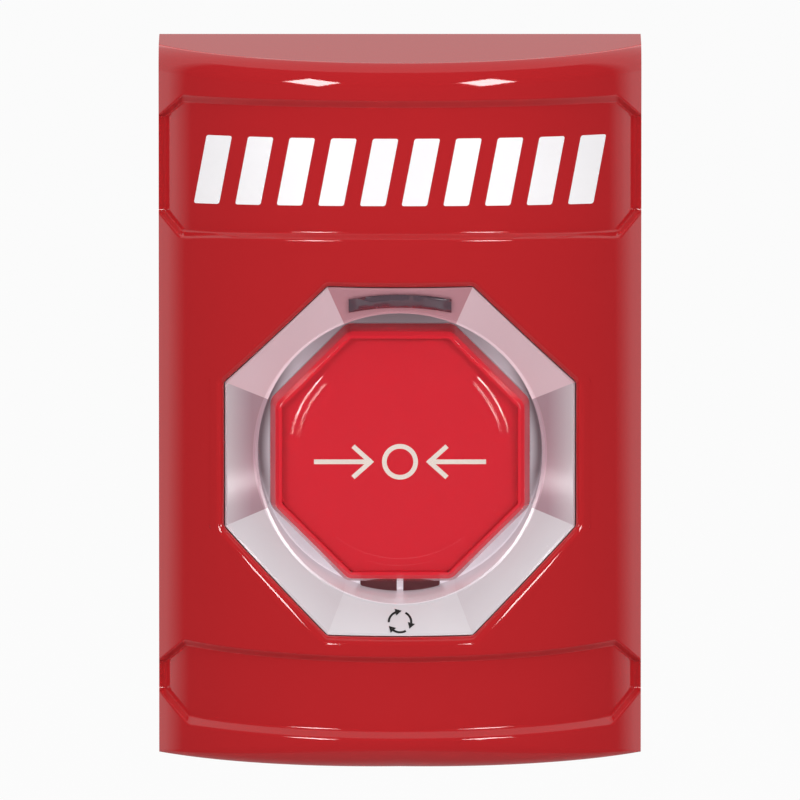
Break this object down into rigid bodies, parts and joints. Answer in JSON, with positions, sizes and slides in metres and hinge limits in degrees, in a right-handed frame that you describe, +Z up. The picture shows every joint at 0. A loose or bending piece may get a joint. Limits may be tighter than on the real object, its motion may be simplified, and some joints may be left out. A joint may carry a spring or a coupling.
{
  "type": "panic button",
  "caption": "Wall-mounted emergency push station: convex red housing, white octagonal dish, red octagonal button that latches when pushed and is released by a turn.",
  "frame": {"origin": "middle of the two wall-screw holes, on the wall plane", "axes": "+Z up, -Y out of the wall towards the user, +X to the viewer's right; the button is pushed along +Y"},
  "size_m": [0.082, 0.0714, 0.121],
  "materials": {
    "housing_red": "glossy moulded red",
    "bezel_white": "translucent white, satin gloss",
    "lens_smoke": "smoked, clear gloss",
    "board_green": "lacquered laminate",
    "lamp_clear": "pale clear resin",
    "cap_clear": "clear, polished",
    "insert_red": "glossy red",
    "base_white": "moulded white",
    "cam_natural": "natural acetal",
    "latch_black": "moulded black",
    "plate_black": "moulded black, fine texture",
    "block_red": "moulded red",
    "block_green": "moulded green",
    "contact_brass": "stamped brass",
    "steel": "zinc-plated"
  },
  "bodies": {
    "station": {"front_housing": "housing_red", "octagon_bezel": "bezel_white", "bezel_screws": "steel", "indicator_lens": "lens_smoke", "indicator_board": "board_green", "indicator_lamps": "lamp_clear", "latch_housing": "latch_black", "latch_housing_screws": "steel", "contact_carrier": "latch_black", "carrier_screws": "steel", "mounting_plate": "plate_black", "housing_screws": "steel", "contact_block_left": "block_red", "contact_block_right": "block_green", "fixed_contacts_left": "contact_brass", "fixed_contacts_right": "contact_brass", "terminal_screws_left": "steel", "terminal_screws_right": "steel", "plunger_spring_left": "steel", "plunger_spring_right": "steel", "return_spring": "steel"},
    "pusher": {"push_plate": "cam_natural"},
    "button": {"button_cap": "cap_clear", "button_insert": "insert_red", "button_base": "base_white", "latch_cam": "cam_natural", "cam_pin": "steel", "retaining_ring": "steel"},
    "contact_left": {"plunger_left": "cam_natural", "contact_bridge_left": "contact_brass"},
    "contact_right": {"plunger_right": "cam_natural", "contact_bridge_right": "contact_brass"}
  },
  "joints": [
    {"name": "button_push", "type": "slide", "parent": "station", "child": "pusher", "axis": [0, 1, 0], "range_m": [0, 0.005], "stiffness_N_per_m": 300, "springref_m": -0.01, "deforming": ["return_spring"]},
    {"name": "button_turn", "type": "hinge", "parent": "pusher", "child": "button", "pos_m": [0, -0.02, -0.00785], "axis": [0, 1, 0], "range_deg": [0, 45], "stiffness_Nm_per_rad": 0.05, "springref_deg": -17.19},
    {"name": "contact_left_slide", "type": "slide", "parent": "station", "child": "contact_left", "axis": [0, 1, 0], "range_m": [0, 0.005], "deforming": ["plunger_spring_left"]},
    {"name": "contact_right_slide", "type": "slide", "parent": "station", "child": "contact_right", "axis": [0, 1, 0], "range_m": [0, 0.005], "deforming": ["plunger_spring_right"]}
  ],
  "couplings": [
    {"joint": "contact_left_slide", "follows": "button_push", "ratio": 1},
    {"joint": "contact_right_slide", "follows": "button_push", "ratio": 1}
  ]
}
